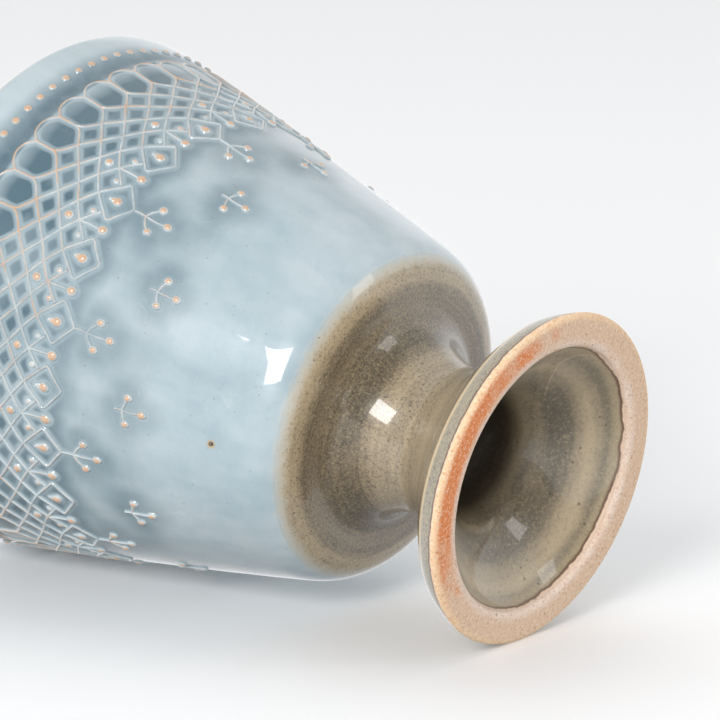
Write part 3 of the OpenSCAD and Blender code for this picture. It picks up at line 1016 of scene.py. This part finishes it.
grow(blue_coat, tree_gap(), {"Lace": lace, "Farthest": 6.0, "Finish": blue_glaze})
for coat in (blue_coat, brown_coat, hollow_coat, liner_coat, foot_clay):
    sharpen(coat, 60)
print("gaps from", round(min(d.value for d in blue_coat.data.attributes["slip_gap"].data), 3), "mm")

# %% [markdown]
# ## Each piece takes its place in the frame
# Nothing on a vase moves, so everything rides on the one body. A table lists each piece with the CAD node
# that it stands for, which is hidden, and the record's finish that it wears.

# %% Ride and replace

STANDS_FOR = [
    (blue_coat, "blue_glaze", "blue_glaze"), (brown_coat, "brown_glaze", "brown_glaze"),
    (hollow_coat, "foot_hollow_glaze", "hollow_glaze"), (liner_coat, "bowl_liner_glaze", "liner_glaze"),
    (foot_clay, "foot", "bare_clay"), (rim_bead_row, "rim_beads", "trailed_slip"),
    (scallops, "scallop_trail", "trailed_slip"), (net, "diamond_net", "trailed_slip"),
    (lozenges, "lozenge_frames", "trailed_slip"), (lozenge_seeds, "frame_seeds", "trailed_slip"),
    (net_dots, "net_seeds", "trailed_slip"), (side_dots, "side_beads", "trailed_slip"),
    (pin_strokes, "pins", "trailed_slip"), (hanging_strokes, "hanging_sprigs", "trailed_slip"),
    (free_strokes, "free_sprigs", "trailed_slip"),
]
for piece, cad_node, finish_slot in STANDS_FOR:
    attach(piece, "root")
    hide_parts(cad_node)
for cad_node, finish in (("bowl", bare_clay), ("slip_joint", joint_slip)):
    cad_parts[cad_node].data.materials.clear()
    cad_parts[cad_node].data.materials.append(finish)
print(len(STANDS_FOR), "pieces stand for CAD nodes")

# %% [markdown]
# ## The table
# The vase lies on a table, which touches it at the foot's edge and at the lip. In the vase's own
# frame that table is a steep plane beside it. It is one-sided, so it hides nothing from behind.
# A second, level floor under the foot shows only to a camera above it, for views of the vase
# standing. Light passes through both, or the steep table would put one side of a standing vase
# in the dark. What a table throws back at a vase comes from the room's lower half instead.

# %% Table and floor

LIES_ON = math.radians(160.1)  # the side that touches the table
FLOOR_HALF = 4.0  # metres from the middle of a floor to its edge
outward = Vector((math.cos(LIES_ON), math.sin(LIES_ON), 0))
foot_touch = outward * (RING_R + 0.05) * MM + Vector((0, 0, RING_H * MM))
lip_touch = outward * (LIP_R + 0.05) * MM + Vector((0, 0, 100.4 * MM))
table_along = (lip_touch - foot_touch).normalized()
table_side = Vector((0, 0, 1)).cross(outward).normalized()
table_up = table_along.cross(table_side).normalized()
if table_up.dot(outward) > 0:
    table_up.negate()


def material_floor(name, colour):
    """Pale and matt from above, and clear from below."""
    made, shader, spot = material(name, 0.7, specular=0.2)
    shader.inputs["Base Color"].default_value = colour
    back = add("ShaderNodeNewGeometry").outputs["Backfacing"]
    choice = node("ShaderNodeMixShader", {0: back, 1: shader.outputs[0],
                                          2: node("ShaderNodeBsdfTransparent")})
    link(choice, made.node_tree.nodes["Material Output"].inputs["Surface"])
    return made


def plane(name, centre, across, along, up, half, finish):
    """A square floor, facing up."""
    corners = [centre + across * x * half + along * y * half for x, y in ((-1, -1), (1, -1), (1, 1), (-1, 1))]
    if (corners[1] - corners[0]).cross(corners[2] - corners[1]).dot(up) < 0:
        corners.reverse()
    mesh = bpy.data.meshes.new(name)
    mesh.from_pydata([list(c) for c in corners], [], [(0, 1, 2, 3)])
    mesh.materials.append(finish)
    made = bpy.data.objects.new(name, mesh)
    bpy.context.scene.collection.objects.link(made)
    return made


floor_finish = material_floor("studio floor", (0.98, 0.98, 0.985, 1))
table = plane("table", foot_touch, table_side, table_along, table_up, FLOOR_HALF, floor_finish)
level_floor = plane("level_floor", Vector((0, 0, -0.05 * MM)), Vector((1, 0, 0)), Vector((0, 1, 0)),
                    Vector((0, 0, 1)), FLOOR_HALF, floor_finish)
for ground in (table, level_floor):
    for ray in ("visible_diffuse", "visible_glossy", "visible_transmission", "visible_shadow"):
        setattr(ground, ray, False)

# %% [markdown]
# ## Light
# The studio is a pale room with one big soft light above and behind, a broad fill in front, a
# window-like box behind the camera whose square reflection shows on the glaze, and a dimmer panel
# at the right. They are placed by compass: away from the camera, to its right, and up from the
# table. The room is dimmer towards the ceiling and towards the camera, so the glaze has something
# uneven to mirror, and below the table it is as bright as the table would be.

# %% Camera and lights

CAMERA_AZ = math.radians(274.3)
near_side = Vector((math.cos(CAMERA_AZ), math.sin(CAMERA_AZ), 0))
near_turn = Vector((-math.sin(CAMERA_AZ), math.cos(CAMERA_AZ), 0))


def from_camera_axes(a, b, c):
    """A direction given towards the camera's side, a quarter turn on, and up the vase."""
    return near_side * a + near_turn * b + Vector((0, 0, c))


# the ways that run to the right of the picture and down it
view_right = from_camera_axes(-0.525038, 0.373885, -0.764556).normalized()
view_down = from_camera_axes(-0.220096, -0.927426, -0.302388)
view_down = (view_down - view_right * view_down.dot(view_right)).normalized()
view_away = view_right.cross(view_down).normalized()
camera_at = near_side * 0.58987 + Vector((0, 0, -0.36771))
camera = bpy.data.objects.new("camera", bpy.data.cameras.new("camera"))
camera.data.sensor_width, camera.data.lens = 36.0, 225.0
camera.data.clip_start, camera.data.clip_end = 0.01, 50.0
camera.matrix_world = Matrix.Translation(camera_at) @ Matrix(
    (view_right, -view_down, -view_away)).transposed().to_4x4()
bpy.context.scene.collection.objects.link(camera)
bpy.context.scene.camera = camera

table_right = (view_right - table_up * view_right.dot(table_up)).normalized()
table_away = table_up.cross(table_right).normalized()
if table_away.dot(view_away) < 0:
    table_away.negate()
middle = Vector((0, 0, 0.045))


def softbox(name, compass, up, distance, size, watts):
    """An area light at a compass angle, clockwise from straight away, facing the vase."""
    flat, rise = math.radians(compass), math.radians(up)
    level_way = table_away * math.cos(flat) + table_right * math.sin(flat)
    way = level_way * math.cos(rise) + table_up * math.sin(rise)
    light = bpy.data.lights.new(name, "AREA")
    light.shape, light.energy = "RECTANGLE", watts
    light.size, light.size_y = size
    made = bpy.data.objects.new(name, light)
    side = table_up.cross(way).normalized()
    made.matrix_world = Matrix.Translation(middle + way * distance) @ Matrix(
        (side, way.cross(side), way)).transposed().to_4x4()
    bpy.context.scene.collection.objects.link(made)
    return made


softbox("overhead", 10, 64, 2.2, (2.6, 2.6), 14.0).visible_glossy = False
softbox("front_fill", 186, 14, 1.7, (1.8, 1.2), 10).visible_glossy = False
softbox("window", -154.4, 26, 1.4, (0.6, 0.52), 12)
softbox("side_panel", 108, 32, 1.6, (0.4, 0.6), 2.0)

world = bpy.data.worlds.new("studio")
world.use_nodes = True
backdrop = world.node_tree.nodes["Background"]
backdrop.inputs["Color"].default_value = (0.98, 0.99, 1.0, 1)
bench["tree"] = world.node_tree
way = add("ShaderNodeTexCoord").outputs["Generated"]
towards = vector_sum("DOT_PRODUCT", way, -view_away)
up = vector_sum("DOT_PRODUCT", way, table_up)
room = plus(between(towards, 0.24, 0.3, 1.0, 0.5), between(towards, 0.3, 0.9, 0.0, -0.3))
room = times(room, between(up, 0.35, 0.55, 1.0, 0.65))
bounce = between(up, -0.9, -0.2, 0.28, 1.08)
below = between(up, 0.0, -0.05)
link(plus(times(room, minus(1.0, below)), times(bounce, below)), backdrop.inputs["Strength"])
bpy.context.scene.world = world
bpy.context.scene.view_settings.view_transform = "Standard"
print("camera at", [round(c, 4) for c in camera_at])
